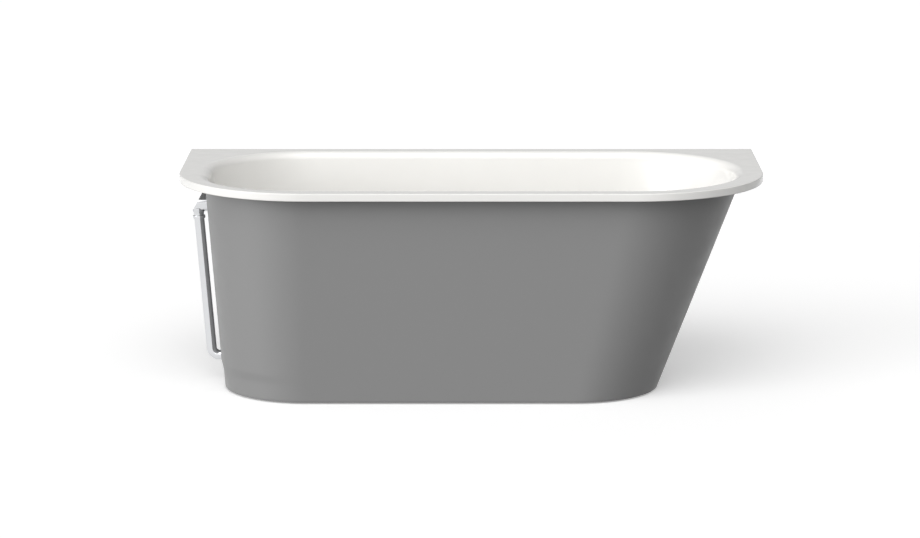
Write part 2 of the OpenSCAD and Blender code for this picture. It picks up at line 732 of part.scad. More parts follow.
bush_h = 12;
bush_r = 11;
module at_feet() {
    for (x = rail_x, side = [-1, 1]) translate([x, side*foot_y, 0]) children();
}
module stud_bushes() {
    color("silver") at_feet() tube_z(bush_r, foot_stud_r + running_fit,
        rail_under - seat_gap/2 - bush_h, rail_under - seat_gap/2);
}
lock_nut_h = 7;
module lock_nuts() {
    top = rail_under - bush_h - seat_gap;
    color("silver") at_feet() difference() {
        translate([0, 0, top - lock_nut_h]) cylinder(r = bush_r, h = lock_nut_h, $fn = 6);
        translate([0, 0, top - lock_nut_h - 1]) cylinder(r = foot_stud_r + running_fit, h = lock_nut_h + 2);
    }
}

pad_socket_z = 5;
pad_boss_h = 16;
module foot_pad(x, side) {
    color("dimgray") translate([x, side*foot_y, 0]) difference() {
        rotate_extrude() polygon([[0, 0], [pad_r, 0], [pad_r, pad_h - 2], [pad_r - 2, pad_h],
            [foot_stud_r + 7, pad_h], [foot_stud_r + 4, pad_boss_h], [0, pad_boss_h]]);
        translate([0, 0, pad_socket_z]) cylinder(r = foot_stud_r + running_fit, h = 20);
    }
}
stud_foot = pad_socket_z + seat_gap;
stud_top = rail_under + foot_travel;
hex_z = pad_boss_h + 4;
hex_r = 11;
module foot_stud(x, side) {
    color("silver") translate([x, side*foot_y, 0]) union() {
        translate([0, 0, stud_foot]) cylinder(r = foot_stud_r, h = stud_top - stud_foot);
        translate([0, 0, hex_z]) cylinder(r = hex_r, h = 8, $fn = 6);
    }
}
module foot_pad_front_left() { foot_pad(rail_x[0], -1); }
module foot_pad_front_right() { foot_pad(rail_x[1], -1); }
module foot_pad_back_left() { foot_pad(rail_x[0], 1); }
module foot_pad_back_right() { foot_pad(rail_x[1], 1); }
module foot_stud_front_left() { foot_stud(rail_x[0], -1); }
module foot_stud_front_right() { foot_stud(rail_x[1], -1); }
module foot_stud_back_left() { foot_stud(rail_x[0], 1); }
module foot_stud_back_right() { foot_stud(rail_x[1], 1); }

// Angles that tie the board's edges to the skin
skin_screw_r = 2.5;
screw_head_r = 4.5;
screw_head_h = 3.5;
skin_screw_in = 20;
skin_angle_t = 2.5;
skin_angle_h = 42;
skin_angle_w = 30;
skin_angle_x = [waste_x + angle_left_in, foot_right - angle_right_in];
board_edge = inset(skin_outline(basin_under), basin_outer + fillet_reach)[3];
function skin_inside(z) = skin_outline(z)[3] - skin_t - seat_gap;
module at_skin_screws() {
    for (x = skin_angle_x, side = [-1, 1])
        translate([x, side*(board_edge - skin_screw_in), board_under]) children();
}
module skin_angles() {
    top = board_under - seat_gap;
    low = top - skin_angle_h;
    inner = board_edge - 2*skin_screw_in;
    color("silver") difference() {
        for (x = skin_angle_x, side = [0, 1]) mirror([0, side, 0]) translate([x - skin_angle_w/2, 0, 0])
            rotate([90, 0, 90]) linear_extrude(skin_angle_w) polygon([
                [inner, top], [inner, top - skin_angle_t],
                [skin_inside(top) - skin_angle_t, top - skin_angle_t],
                [skin_inside(low) - skin_angle_t, low], [skin_inside(low), low], [skin_inside(top), top]]);
        at_skin_screws() translate([0, 0, -6]) cylinder(r = skin_screw_r + screw_gap, h = 6);
    }
}
module skin_angle_screws() {
    color("silver") at_skin_screws() translate([0, 0, -1.5*seat_gap - skin_angle_t])
        socket_screw(skin_screw_r, board_t - 2, screw_head_r, screw_head_h, 2);
}

// Brackets that hold the rim to the wall
bracket_t = 2.5;
bracket_drop = 36;
bracket_reach = 34;
bracket_top = under_rim - seat_gap;
rim_screw_r = 2.5;
rim_screw_pitch = 70;
rim_screw_in = 20;
wall_hole_drop = 22;
wall_hole_z = bracket_top - wall_hole_drop;
module at_wall_bracket_screws() {
    for (x = [-wall_bracket_x, wall_bracket_x], side = [-1, 1])
        translate([x + side*rim_screw_pitch/2, wall_y - rim_screw_in, under_rim]) children();
}
module wall_bracket(x) {
    color("silver") difference() {
        translate([x - wall_bracket_l/2, 0, 0]) rotate([90, 0, 90]) linear_extrude(wall_bracket_l) polygon([
            [wall_y, bracket_top], [wall_y - bracket_reach, bracket_top],
            [wall_y - bracket_reach, bracket_top - bracket_t],
            [wall_y - bracket_t, bracket_top - bracket_t],
            [wall_y - bracket_t, bracket_top - bracket_drop], [wall_y, bracket_top - bracket_drop]]);
        for (side = [-1, 1]) translate([x + side*wall_hole_pitch/2, 0, wall_hole_z])
            rod_y(wall_hole_r, wall_y - bracket_t - 1, wall_y + 1);
        at_wall_bracket_screws() translate([0, 0, -bracket_t - 5])
            cylinder(r = rim_screw_r + 2*screw_gap, h = 10);
    }
}
module wall_bracket_left() { wall_bracket(-wall_bracket_x); }
module wall_bracket_right() { wall_bracket(wall_bracket_x); }
module rim_screws() {
    under = bracket_t + 1.5*seat_gap;
    color("silver") at_wall_bracket_screws() translate([0, 0, -under])
        socket_screw(rim_screw_r, under + insert_depth - 1, screw_head_r, screw_head_h, 2);
}

basin();
outer_skin();
overflow_elbow();
overflow_wall_seal();
overflow_collar();
overflow_pipe();
overflow_bend();
overflow_run();
bend_ferrules();
overflow_inner_seal();
overflow_cover();
overflow_screw();
skin_grommet();
waste_flange();
plug_sleeve();
waste_seal_top();
waste_seal_under();
waste_back_nut();
plug_cap();
plug_seal();
trap_body();
trap_bowl();
trap_bowl_ring();
trap_inlet_nut();
trap_inlet_seal();
overflow_union_nut();
overflow_union_ring();
outlet_nut();
outlet_ring();
outlet_pipe();
base_board();
cross_rail_left();
cross_rail_right();
board_screws();
stud_bushes();
lock_nuts();
foot_pad_front_left();
foot_pad_front_right();
foot_pad_back_left();
foot_pad_back_right();
foot_stud_front_left();
foot_stud_front_right();
foot_stud_back_left();
foot_stud_back_right();
skin_angles();
skin_angle_screws();
wall_bracket_left();
wall_bracket_right();
rim_screws();
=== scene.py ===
"""Looks of the back-to-wall bath. Metres, in the same frame as the CAD model."""

from math import atan, cos, pi, radians, sin, tan

import bmesh
import bpy
from mathutils import Matrix, Vector


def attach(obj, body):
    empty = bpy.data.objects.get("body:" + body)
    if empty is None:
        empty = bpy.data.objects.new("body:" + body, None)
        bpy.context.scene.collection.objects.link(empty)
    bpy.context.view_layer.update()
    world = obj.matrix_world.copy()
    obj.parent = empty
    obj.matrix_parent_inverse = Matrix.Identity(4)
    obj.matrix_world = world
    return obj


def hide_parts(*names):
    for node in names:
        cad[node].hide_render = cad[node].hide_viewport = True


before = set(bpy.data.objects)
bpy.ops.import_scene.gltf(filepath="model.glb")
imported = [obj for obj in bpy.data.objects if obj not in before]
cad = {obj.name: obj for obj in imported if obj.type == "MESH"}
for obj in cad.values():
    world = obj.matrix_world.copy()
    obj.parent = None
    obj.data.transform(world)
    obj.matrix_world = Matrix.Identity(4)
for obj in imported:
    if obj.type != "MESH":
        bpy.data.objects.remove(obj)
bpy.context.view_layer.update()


def add_object(name, data):
    """A new object in the scene."""
    o = bpy.data.objects.new(name, data)
    bpy.context.scene.collection.objects.link(o)
    return o


# Camera, at the photograph's viewing angle

CAMERA_AT = (0, -9.244327, 2.139815)
CAMERA_DOWN = 0.195
CAMERA_LENS = 133.359
CAMERA_SHIFT = -0.0123

camera_data = bpy.data.cameras.new("camera")
camera = add_object("camera", camera_data)
camera.location = CAMERA_AT
camera.rotation_euler = (pi / 2 - CAMERA_DOWN, 0, 0)
camera_data.sensor_width = 36
camera_data.lens = CAMERA_LENS
camera_data.shift_x = CAMERA_SHIFT
camera_data.clip_end = 200
bpy.context.scene.camera = camera

# Sizes, as in the CAD model

BATH_H = 0.590
RIM_T = 0.0215
UNDER_RIM = BATH_H - RIM_T
RIM_EDGE = 0.0025
RIM = [-0.8, 0.8, -0.375, 0.375, 0.361, 0.361, 0.004, 0.004]
# The skin at the rim and on the floor: left, right, front, back, then the corners' radii
TOP = (-0.728, 0.736, -0.330, 0.330)
FOOT = (-0.683, 0.512, -0.295, 0.295)
R_TOP = (0.276, 0.310)
R_FOOT = (0.234, 0.232)
SKIN_T = 0.005
# The basin's outer and inner faces, in from the skin's outer face
OUTER = 0.0054
INNER = 0.0130
FLOOR_GAP = 0.004
STEP_FOOT, STEP_TOP, STEP = 0.048, 0.080, 0.004
BASIN_UNDER = 0.140
FLOOR_Z = 0.150
FILLET_H, FILLET_REACH = 0.085, 0.100
LIP_H, LIP_LEFT, LIP_RIGHT, LIP_SIDE = 0.022, 0.029, 0.024, 0.018
WASTE_X = -0.470
WASTE_HOLE_R = 0.026
# The waste's seat in the basin's floor: radius and depth under the floor
SEAT = ((0.0385, 0), (0.0365, 0.0003), (0.036, 0.001), (0.036, 0.005), (WASTE_HOLE_R, 0.005))
FALL = 0.008
OVERFLOW_Z = 0.506
OVERFLOW_HOLE_R = 0.021
LEAN = atan(0.045 / UNDER_RIM)
PIPE_R, BORE_R, BEND_R = 0.014, 0.0128, 0.022
RUN_Z = 0.0715
STAND_OFF = 0.0305
PIPE_TOP, PIPE_END = -0.041, -0.532
GROMMET_HOLE_R = 0.017
# The service opening at the back: left, right and top
SERVICE = (-0.545, -0.395, 0.110)
STUD_X = {"left": -0.560, "right": 0.400}
STUD_Y = {"front": -0.195, "back": 0.195}

# Near the axis of a turned piece that closes on it
NEAR_AXIS = 1e-5
# Short stretches next to a curve, which keep its shading apart from the flats
HOLD = 0.006
RIM_HOLD = 0.002
PIPE_HOLD = 0.004

CORNER_STEPS = 40


def mix(a, b, t):
    return a + (b - a) * t


def curve(a, b, c, t):
    """A point on the curve from a to c that aims at b."""
    return a * (1 - t) ** 2 + b * 2 * t * (1 - t) + c * t * t


def quarter_turn(steps):
    return [pi / 2 * k / steps for k in range(steps + 1)]


def step_at(z):
    """How far the plinth is set back at height z, on the left."""
    t = min(1, max(0, (STEP_TOP - z) / (STEP_TOP - STEP_FOOT)))
    return STEP * t * t * (3 - 2 * t)


def outline(z):
    """The skin's outer face at height z: left, right, front, back and four corner radii."""
    t = z / UNDER_RIM
    left, right, front, back = (mix(f, e, t) for f, e in zip(FOOT, TOP))
    r_left, r_right = (mix(f, e, t) for f, e in zip(R_FOOT, R_TOP))
    return [left + step_at(z), right, front, back, r_left, r_right, r_right, r_left]


def inset(o, d):
    return [o[0] + d, o[1] - d, o[2] + d, o[3] - d] + [r - d for r in o[4:]]


def ring(o, z, fall=0.0):
    """Points of an outline, anticlockwise from the front right corner. Two more points on each
    side keep the shading of the flats apart from that of the corners."""
    corners = (
        (o[1] - o[5], o[2] + o[5], o[5], -90),
        (o[1] - o[6], o[3] - o[6], o[6], 0),
        (o[0] + o[7], o[3] - o[7], o[7], 90),
        (o[0] + o[4], o[2] + o[4], o[4], 180),
    )
    points = []
    for x, y, r, start in corners:
        for k in range(-1, CORNER_STEPS + 2):
            t = min(max(k, 0), CORNER_STEPS) / CORNER_STEPS
            a = radians(start + 90 * t)
            px, py = x + r * cos(a), y + r * sin(a)
            if k < 0:
                px, py = px + HOLD * sin(a), py - HOLD * cos(a)
            if k > CORNER_STEPS:
                px, py = px - HOLD * sin(a), py + HOLD * cos(a)
            points.append(Vector((px, py, z + fall * (px - WASTE_X))))
    return points


def wall_ring(d, z, fall=0.0):
    """The skin's outline at height z, moved in by d."""
    return ring(inset(outline(z), d), z, fall)


def rim_ring(d, z):
    """The rim's outline at height z, moved in by d."""
    return ring(inset(RIM, d), z)


def blend_rings(a, b, c, steps):
    """Rings on the curve from ring a to ring c that aims at ring b."""
    made = []
    for k in range(steps + 1):
        made.append([curve(p, q, r, k / steps) for p, q, r in zip(a, b, c)])
    return made


def circle_towards(points, centre, r, z):
    """A circle round the centre with one point in the direction of each given point."""
    made = []
    for p in points:
        d = Vector((p.x - centre, p.y)).normalized() * r
        made.append(Vector((centre + d.x, d.y, z)))
    return made


def round_ring(place, r, z, steps):
    """A circle round the Z axis of place."""
    turns = [2 * pi * k / steps for k in range(steps)]
    return [place @ Vector((r * cos(a), r * sin(a), z)) for a in turns]


def smooth(mesh, sharp=35.0):
    """Smooth shading but for edges over the sharp angle."""
    mesh.shade_smooth()
    mesh.set_sharp_from_angle(angle=radians(sharp))


def mesh_from(name, bm):
    mesh = bpy.data.meshes.new(name)
    bm.to_mesh(mesh)
    bm.free()
    return mesh


def new_piece(name, bm, sharp=35.0):
    bmesh.ops.recalc_face_normals(bm, faces=bm.faces)
    mesh = mesh_from(name, bm)
    smooth(mesh, sharp)
    return add_object(name, mesh)


def add_loft(bm, rings, closed=False, caps=False):
    """Faces through matched rings of points."""
    rows = [[bm.verts.new(p) for p in r] for r in rings]
    n = len(rows[0])
    pairs = list(zip(rows, rows[1:])) + ([(rows[-1], rows[0])] if closed else [])
    for a, b in pairs:
        for j in range(n):
            k = (j + 1) % n
            bm.faces.new((a[j], a[k], b[k], b[j]))
    if caps:
        bm.faces.new(rows[0])
        bm.faces.new(rows[-1])


def rounded(profile, r, steps=5):
    """A closed profile with each corner rounded by up to r."""
    points = [Vector(p) for p in profile]
    n, made = len(points), []
    for i, p in enumerate(points):
        before, after = points[i - 1] - p, points[(i + 1) % n] - p
        d = min(r, before.length * 0.45, after.length * 0.45)
        a, b = p + before.normalized() * d, p + after.normalized() * d
        made += [curve(a, p, b, k / steps) for k in range(steps + 1)]
    return made


def add_lathe(bm, profile, place=Matrix(), steps=96):
    """Turns a closed profile of (radius, height) points round the Z axis of place."""
    add_loft(bm, [round_ring(place, r, z, steps) for r, z in profile], closed=True)


def add_rod(bm, r, low, high, place=Matrix(), steps=96):
    add_loft(bm, [round_ring(place, r, z, steps) for z in (low, high)], caps=True)


def apply_modifiers(o):
    """Turns what the object's modifiers make into its own mesh."""
    graph = bpy.context.evaluated_depsgraph_get()
    mesh = bpy.data.meshes.new_from_object(o.evaluated_get(graph), depsgraph=graph)
    o.modifiers.clear()
    old, o.data = o.data, mesh
    bpy.data.meshes.remove(old)
    return o


def cut(o, cutter_bm):
    """Cuts the cutter's solids out of the piece."""
    bmesh.ops.recalc_face_normals(cutter_bm, faces=cutter_bm.faces)
    mesh = mesh_from("cutter", cutter_bm)
    cutter = add_object("cutter", mesh)
    m = o.modifiers.new("cut", "BOOLEAN")
    m.object, m.operation, m.solver = cutter, "DIFFERENCE", "EXACT"
    apply_modifiers(o)
    bpy.data.objects.remove(cutter)
    bpy.data.meshes.remove(mesh)
    smooth(o.data)
    return o


# Places: the overflow end's leaning wall, with X into the bath and Z up along the wall

OVERFLOW_X = outline(OVERFLOW_Z)[0]
ON_WALL = Matrix.Translation((OVERFLOW_X, 0, OVERFLOW_Z)) @ Matrix.Rotation(-LEAN, 4, "Y")
ALONG_X = Matrix.Rotation(pi / 2, 4, "Y")
ALONG_Y = Matrix.Rotation(-pi / 2, 4, "X")
THROUGH_WALL = ON_WALL @ ALONG_X
AT_WASTE = Matrix.Translation((WASTE_X, 0, 0))


def basin_rings():
    """The basin's section: under the floor, up outside, round the rim and down inside."""
    low = FLOOR_Z + FILLET_H
    wall_z = BATH_H - LIP_H
    w = inset(outline(wall_z), INNER)
    opening = [w[0] - LIP_LEFT, w[1] + LIP_RIGHT, w[2] - LIP_SIDE, w[3] + LIP_SIDE]
    opening += [r + LIP_SIDE for r in w[4:]]

    under_floor = wall_ring(OUTER + FILLET_REACH, BASIN_UNDER)
    under_corner = wall_ring(OUTER, BASIN_UNDER)
    under_wall = wall_ring(OUTER, BASIN_UNDER + FILLET_H)
    rings = [circle_towards(under_floor, WASTE_X, WASTE_HOLE_R, BASIN_UNDER)]
    rings += blend_rings(under_floor, under_corner, under_wall, 10)
    rings.append(wall_ring(OUTER, UNDER_RIM))

    rings.append(rim_ring(RIM_EDGE + RIM_HOLD, UNDER_RIM))
    for a in quarter_turn(6):
        rings.append(rim_ring(RIM_EDGE * (1 - sin(a)), UNDER_RIM + RIM_EDGE * (1 - cos(a))))
    rings.append(ring(RIM, UNDER_RIM + RIM_EDGE + RIM_HOLD / 2))
    rings.append(ring(RIM, BATH_H - RIM_EDGE - RIM_HOLD / 2))
    for a in quarter_turn(6):
        rings.append(rim_ring(RIM_EDGE * (1 - cos(a)), BATH_H - RIM_EDGE * (1 - sin(a))))
    rings.append(rim_ring(RIM_EDGE + RIM_HOLD, BATH_H))

    edge, wall = ring(opening, BATH_H), ring(w, wall_z)
    rings.append(ring(inset(opening, -RIM_HOLD), BATH_H))
    for a in quarter_turn(16):
        z = BATH_H - LIP_H * (1 - cos(a))
        s = sin(a)
        rings.append([Vector((mix(p.x, q.x, s), mix(p.y, q.y, s), z)) for p, q in zip(edge, wall)])
    for z in (wall_z - 0.01, 0.50, 0.42, 0.34, low + 0.03):
        t = (z - low) / (wall_z - low)
        rings.append(wall_ring(INNER, z, FALL * (1 - t)))

    in_wall = wall_ring(INNER, low, FALL)
    in_corner = wall_ring(INNER, FLOOR_Z, FALL)
    in_floor = wall_ring(INNER + FILLET_REACH, FLOOR_Z, FALL)
    rings += blend_rings(in_wall, in_corner, in_floor, 16)
    seat = circle_towards(in_floor, WASTE_X, SEAT[-2][0], FLOOR_Z)
    rings.append([mix(p, q, 0.06) for p, q in zip(in_floor, seat)])
    for r, depth in SEAT:
        rings.append(circle_towards(in_floor, WASTE_X, r, FLOOR_Z - depth))
    return rings


def make_basin():
    bm = bmesh.new()
    add_loft(bm, basin_rings(), closed=True)
    o = new_piece("basin_shell", bm)
    cutter = bmesh.new()
    add_rod(cutter, OVERFLOW_HOLE_R, -0.005, 0.040, THROUGH_WALL)
    return cut(o, cutter)


def make_skin():
    """The skin with its holes for the overflow and the pipe, and the opening at the back."""
    # Each level: how far in from the outline, and the height
    levels = [(0.0012, FLOOR_GAP), (0.0004, FLOOR_GAP + 0.0003), (0, FLOOR_GAP + 0.0012)]
    levels += [(0, 0.012), (0, 0.042)]
    levels += [(0, mix(STEP_FOOT, STEP_TOP, k / 8)) for k in range(9)]
    levels += [(0, z) for z in (0.086, 0.15, 0.25, 0.35, 0.45, 0.53, UNDER_RIM - 0.0003)]
    rings = [wall_ring(d, z) for d, z in levels]
    rings += [wall_ring(SKIN_T, z) for _, z in reversed(levels[3:])]
    rings.append(wall_ring(SKIN_T, FLOOR_GAP))
    bm = bmesh.new()
    add_loft(bm, rings, closed=True)
    o = new_piece("skin_shell", bm)

    cutter = bmesh.new()
    add_rod(cutter, OVERFLOW_HOLE_R, -0.005, 0.020, THROUGH_WALL)
    add_rod(cutter, GROMMET_HOLE_R, -0.713, -0.653, Matrix.Translation((0, 0, RUN_Z)) @ ALONG_X)
    back = FOOT[3] - 0.02
    left, right, top = SERVICE
    corners = ((left, -0.001), (right, -0.001), (right, top), (left, top))
    ends = [[Vector((x, y, z)) for x, z in corners] for y in (back, back + 0.06)]
    add_loft(cutter, ends, caps=True)
    return cut(o, cutter)


def make_overflow_pipe():
    """One tube down along the wall, through the bend and level into the trap."""
    drop = (OVERFLOW_Z - STAND_OFF * sin(LEAN) - RUN_Z) / cos(LEAN)
    tangent = BEND_R * tan((pi / 2 - LEAN) / 2)
    up = ON_WALL.to_3x3() @ Vector((0, 0, 1))
    top = ON_WALL @ Vector((-STAND_OFF, 0, PIPE_TOP))
    low = ON_WALL @ Vector((-STAND_OFF, 0, tangent - drop))
    path = [(top, -up), (top - up * PIPE_HOLD, -up), (low + up * PIPE_HOLD, -up)]
    centre = low + (ON_WALL.to_3x3() @ Vector((1, 0, 0))) * BEND_R
    bend_steps, round_steps = 32, 64
    for k in range(bend_steps + 1):
        a = pi + LEAN + (pi / 2 - LEAN) * k / bend_steps
        d = Vector((cos(a), 0, sin(a)))
        path.append((centre + d * BEND_R, Vector((-d.z, 0, d.x))))
    for x in (centre.x + PIPE_HOLD, PIPE_END - PIPE_HOLD, PIPE_END):
        path.append((Vector((x, 0, RUN_Z)), Vector((1, 0, 0))))

    side = Vector((0, 1, 0))
    turns = [2 * pi * k / round_steps for k in range(round_steps)]
    rings = []
    for r, part in ((PIPE_R, path), (BORE_R, path[::-1])):
        for p, t in part:
            across = side.cross(t).normalized()
            rings.append([p + (across * cos(a) + side * sin(a)) * r for a in turns])
    bm = bmesh.new()
    add_loft(bm, rings, closed=True)
    return new_piece("overflow_tube", bm)


def clip(bm, point, normal):
    """Cuts off what lies beyond a plane and closes the cut."""
    everything = bm.verts[:] + bm.edges[:] + bm.faces[:]
    made = bmesh.ops.bisect_plane(
        bm, geom=everything, plane_co=point, plane_no=normal, clear_outer=True
    )
    edges = [e for e in made["geom_cut"] if isinstance(e, bmesh.types.BMEdge)]
    bmesh.ops.contextual_create(bm, geom=edges)
    bmesh.ops.remove_doubles(bm, verts=bm.verts, dist=1e-5)


def bevel(bm, edges, offset, segments, profile):
    bmesh.ops.bevel(
        bm, geom=edges, offset=offset, segments=segments, profile=profile, affect="EDGES",
        clamp_overlap=True,
    )


# The elbow in its own place on the wall: the drum, its slanting face and the neck below
ELBOW_OUT, ELBOW_R, ELBOW_FOOT = 0.0445, 0.0285, -0.0018
ELBOW_SLANT = radians(57)
SLANT_X, SLANT_Z = -0.044, -0.0191
SLANT_CHAMFER, DRUM_EDGE = 0.0085, 0.002
NECK = (
    (NEAR_AXIS, -0.016), (0.0245, -0.016), (0.0215, -0.0225), (0.0175, -0.0268),
    (0.0150, -0.0300), (0.0139, -0.0345), (0.0139, -0.0373), (0.0136, -0.0376),
    (0.0125, -0.0376), (0.0125, -0.060), (NEAR_AXIS, -0.060),
)


def make_elbow():
    """A short drum on the wall with a slanting outer face, which flows into its neck."""
    normal = Vector((-sin(ELBOW_SLANT), 0, cos(ELBOW_SLANT)))
    on_slant = Vector((SLANT_X, 0, SLANT_Z))
    bm = bmesh.new()
    add_rod(bm, ELBOW_R, -ELBOW_OUT, ELBOW_FOOT, ALONG_X)
    clip(bm, on_slant, normal)
    face = [e for e in bm.edges if all(abs((v.co - on_slant).dot(normal)) < 1e-5 for v in e.verts)]
    bevel(bm, face, SLANT_CHAMFER, 2, 0.6)
    corners = [e for e in bm.edges if e.is_manifold and e.calc_face_angle(0) > radians(50)]
    bevel(bm, [e for e in corners if min(v.co.x for v in e.verts) < -0.003], DRUM_EDGE, 3, 0.5)

    neck = bmesh.new()
    add_lathe(neck, NECK, Matrix.Translation((-STAND_OFF, 0, 0)))
    # The neck stays a little inside the drum's faces
    clip(neck, (-ELBOW_OUT + 0.0002, 0, 0), (-1, 0, 0))
    clip(neck, (SLANT_X + 0.0003, 0, SLANT_Z), normal)
    part = mesh_from("neck", neck)
    bm.from_mesh(part)
    bpy.data.meshes.remove(part)
    bm.transform(ON_WALL)
    return new_piece("overflow_elbow_body", bm, 38)


def make_collar():
    bm = bmesh.new()
    top, low, ledge = -0.0378, -0.0378 - 0.0084, -0.0378 - 0.0035
    neck_r, outer_r, grip_r = 0.0126, 0.0172, 0.0143
    profile = (
        (neck_r, top), (outer_r, top), (outer_r, low),
        (grip_r, low), (grip_r, ledge), (neck_r, ledge),
    )
    add_lathe(bm, rounded(profile, 0.0008), ON_WALL @ Matrix.Translation((-STAND_OFF, 0, 0)))
    return new_piece("overflow_ring", bm)


def make_cover():
    """The round cover inside the bath, with a ring of holes."""
    foot, hole_r, hole_ring_r, holes = 0.01476, 0.003, 0.020, 12
    profile = (
        (0.00255, 0.005), (0.029, 0.005), (0.030, 0.004), (0.030, 0.0),
        (0.032, 0.0), (0.032, 0.0045), (0.0295, 0.007), (0.00255, 0.007),
    )
    bm = bmesh.new()
    add_lathe(bm, rounded([(r, foot + x) for r, x in profile], 0.0009), THROUGH_WALL, 128)
    o = new_piece("overflow_cover_dish", bm)
    cutter = bmesh.new()
    for k in range(holes):
        a = 2 * pi * k / holes
        place = THROUGH_WALL @ Matrix.Translation((hole_ring_r * cos(a), hole_ring_r * sin(a), 0))
        add_rod(cutter, hole_r, foot, foot + 0.008, place, 32)
    return cut(o, cutter)


def make_waste():
    """The flange with its seat, tail, arms and hub."""
    z = FLOOR_Z
    flange = (
        (0.021, 0.096), (0.0239, 0.096), (0.0239, z - 0.003), (0.035, z - 0.003),
        (0.035, z - 0.0008), (0.0338, z), (0.024, z), (0.021, z - 0.003),
    )
    hub = ((0.0073, 0.118), (0.009, 0.118), (0.009, 0.130), (0.0073, 0.130))
    arm = ((0.0085, -0.0015), (0.0215, -0.0015), (0.0215, 0.0015), (0.0085, 0.0015))
    bm = bmesh.new()
    add_lathe(bm, rounded(flange, 0.0006), AT_WASTE, 128)
    add_lathe(bm, rounded(hub, 0.0004), AT_WASTE, 48)
    for k in range(3):
        turn = AT_WASTE @ Matrix.Rotation(radians(120 * k + 30), 4, "Z")
        ends = [[turn @ Vector((x, y, h)) for x, y in arm] for h in (0.118, 0.126)]
        add_loft(bm, ends, caps=True)
    return new_piece("waste_seat", bm)


def make_plug():
    """The domed plug with its stem."""
    z = FLOOR_Z + 0.002
    profile = [(NEAR_AXIS, z + 0.0048)]
    for k in range(1, 16):
        a = radians(6 * k)
        profile.append((0.0309 * sin(a), z + 0.0021 + 0.0027 * cos(a)))
    profile += [(0.0315, z + 0.0016), (0.0314, z + 0.0006), (0.0308, z), (0.006, z)]
    profile += [(0.005, z - 0.001), (0.005, z - 0.037), (0.0042, z - 0.038), (NEAR_AXIS, z - 0.038)]
    bm = bmesh.new()
    add_lathe(bm, profile, AT_WASTE, 128)
    return new_piece("plug_dish", bm)


# Materials


def linear(colour):
    """A linear colour from an sRGB hex value."""
    made = []
    for i in (0, 2, 4):
        c = int(colour[i : i + 2], 16) / 255
        made.append(c / 12.92 if c <= 0.04045 else ((c + 0.055) / 1.055) ** 2.4)
    return (*made, 1.0)


def node(owner, kind, inputs=(), **settings):
    """Adds a shader node to a material or the world. An input's value is a number, a colour or
    another node's output."""
    n = owner.node_tree.nodes.new(kind)
    for key, value in settings.items():
        setattr(n, key, value)
    for key, value in dict(inputs).items():
        if isinstance(value, bpy.types.NodeSocket):
            owner.node_tree.links.new(value, n.inputs[key])
        else:
            n.inputs[key].default_value = value
    return n


def map_range(owner, value, source, target):
    ends = dict(zip(("From Min", "From Max", "To Min", "To Max"), source + target))
    return node(owner, "ShaderNodeMapRange", {"Value": value, **ends}).outputs[0]


def material(name, colour, roughness, **sockets):
    m = bpy.data.materials.new(name)
    m.use_nodes = True
    shader = m.node_tree.nodes["Principled BSDF"]
    shader.inputs["Base Color"].default_value = linear(colour)
    shader.inputs["Roughness"].default_value = roughness
    for key, value in sockets.items():
        shader.inputs[key.replace("_", " ")].default_value = value
    return m, shader


def noise(m, scale, detail=2.0, roughness=0.5, stretch=(1, 1, 1)):
    """Noise in the object's own coordinates."""
    at = node(m, "ShaderNodeTexCoord")
    mapped = node(m, "ShaderNodeMapping", {"Vector": at.outputs["Object"], "Scale": stretch})
    inputs = {"Vector": mapped.outputs[0], "Scale": scale, "Detail": detail, "Roughness": roughness}
    return node(m, "ShaderNodeTexNoise", inputs).outputs["Fac"]


def tint(m, shader, value, dark, light):
    """Base colour between two hex values."""
    n = node(m, "ShaderNodeMix", data_type="RGBA")
    m.node_tree.links.new(value, n.inputs[0])
    n.inputs[6].default_value = linear(dark)
    n.inputs[7].default_value = linear(light)
    m.node_tree.links.new(n.outputs[2], shader.inputs["Base Color"])


def bump(m, shader, height, strength, distance):
    n = node(m, "ShaderNodeBump", {"Height": height, "Strength": strength, "Distance": distance})
    m.node_tree.links.new(n.outputs[0], shader.inputs["Normal"])


# Where most of the noise lies, which is stretched to the range asked for
NOISE_SPAN = (0.3, 0.7)


def rough(m, shader, value, low, high):
    """Roughness between two values."""
    m.node_tree.links.new(map_range(m, value, NOISE_SPAN, (low, high)), shader.inputs["Roughness"])


# Sanded and polished gelcoat: nearly even white with a faint orange peel
basin_white, s = material("basin_white", "F2F1EE", 0.16, Coat_Weight=0.35, Coat_Roughness=0.06)
tint(basin_white, s, noise(basin_white, scale=5, detail=3), "EFEEEB", "F4F3F0")
rough(basin_white, s, noise(basin_white, scale=30), 0.12, 0.2)
bump(basin_white, s, noise(basin_white, scale=90, detail=1), strength=0.03, distance=0.0006)

# Satin spray paint: fine grain and a soft sheen
skin_paint, s = material("skin_paint", "868686", 0.42)
tint(skin_paint, s, noise(skin_paint, scale=700), "838383", "898989")
rough(skin_paint, s, noise(skin_paint, scale=25, detail=3), 0.38, 0.46)
bump(skin_paint, s, noise(skin_paint, scale=1400), strength=0.12, distance=0.0002)

# Chrome plate over polished brass: a mirror with faint wiping marks
chrome, s = material("polished_chrome", "D8D9DB", 0.05, Metallic=1.0)
rough(chrome, s, noise(chrome, scale=40, detail=3, roughness=0.6), 0.03, 0.08)


def surface(name, colours, gloss, scale, grain, depth, stretch=(1, 1, 1), **sockets):
    """A material whose colour and gloss vary a little at a scale, with a finer grain of a depth."""
    m, s = material(name, colours[1], gloss[1], **sockets)
    tint(m, s, noise(m, scale, 3, 0.55, stretch), *colours)
    rough(m, s, noise(m, scale * 2.5), *gloss)
    bump(m, s, noise(m, grain, 2, 0.5, stretch), strength=0.25, distance=depth)
    return m


